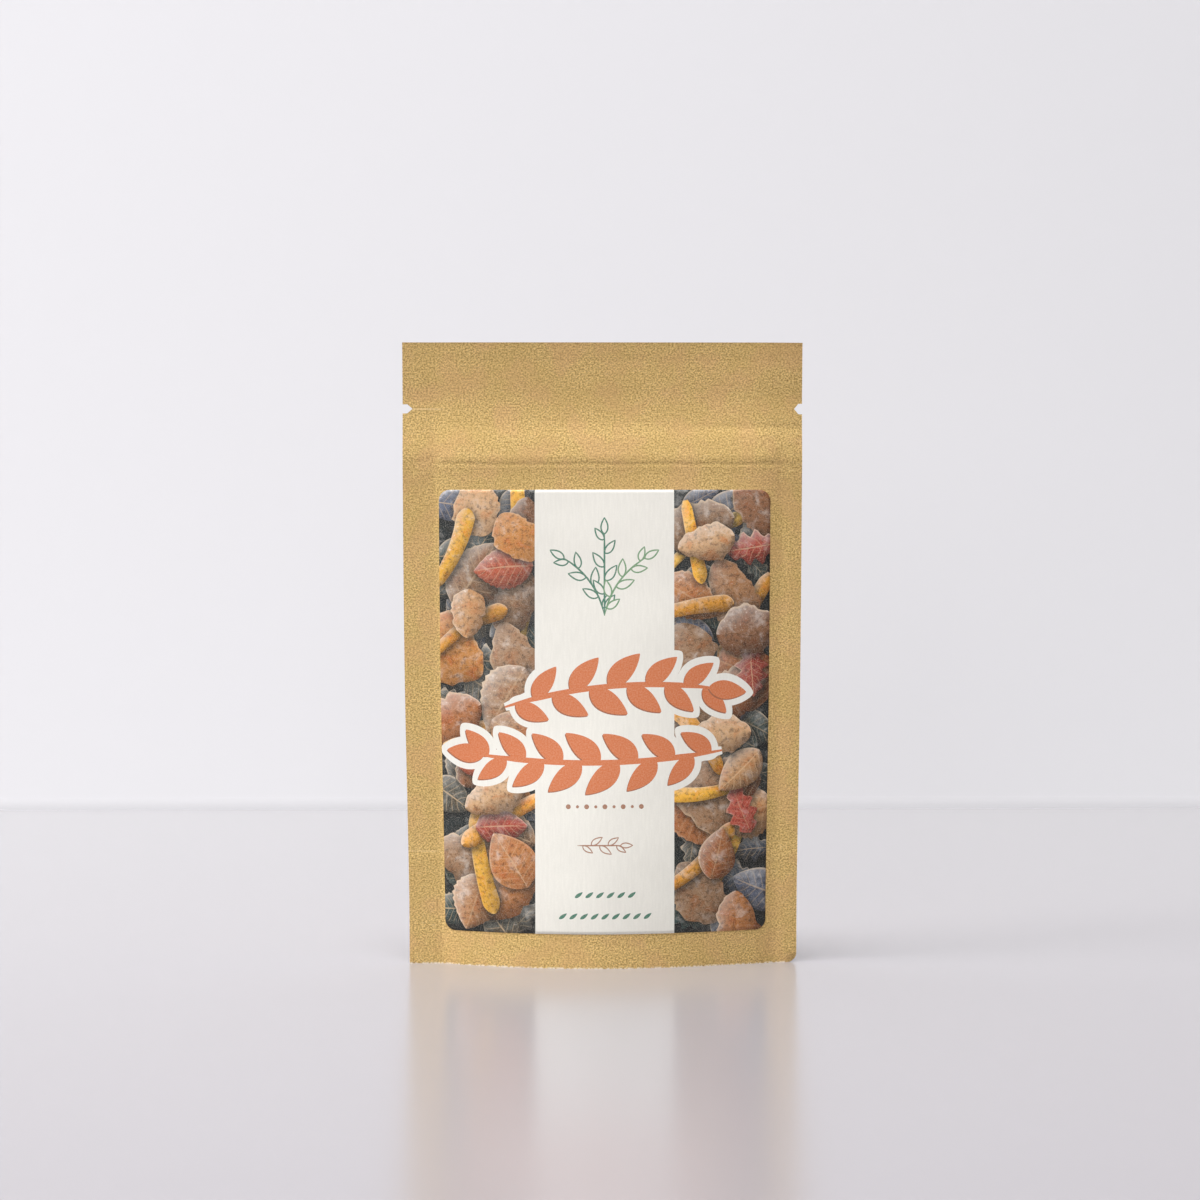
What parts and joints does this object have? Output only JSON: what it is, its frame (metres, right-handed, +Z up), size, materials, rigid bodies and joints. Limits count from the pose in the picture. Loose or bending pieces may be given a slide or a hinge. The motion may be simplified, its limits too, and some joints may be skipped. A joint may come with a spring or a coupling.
{
  "type": "stand-up zip pouch",
  "caption": "Kraft paper stand-up pouch with a bottom gusset, an inner press-to-close zip, tear notches and a large front label, filled with dry mushroom powder.",
  "frame": {"origin": "middle of the base, at the height of the bottom rims that the pouch stands on, in the plane where the two side panels are sealed together", "axes": "+X to the right as seen from the front, -Y towards the front with the label, +Z up from the base to the sealed top edge"},
  "size_m": [0.11, 0.0242, 0.171],
  "materials": {
    "kraft_laminate": "matte",
    "zip_plastic": "satin",
    "label_paper": "satin",
    "powder": "matte"
  },
  "bodies": {
    "root": {"front_panel": "kraft_laminate", "back_panel": "kraft_laminate", "bottom_gusset": "kraft_laminate", "zip_track_front": "zip_plastic", "zip_track_back": "zip_plastic", "front_label": "label_paper", "mushroom_powder": "powder"}
  },
  "joints": []
}
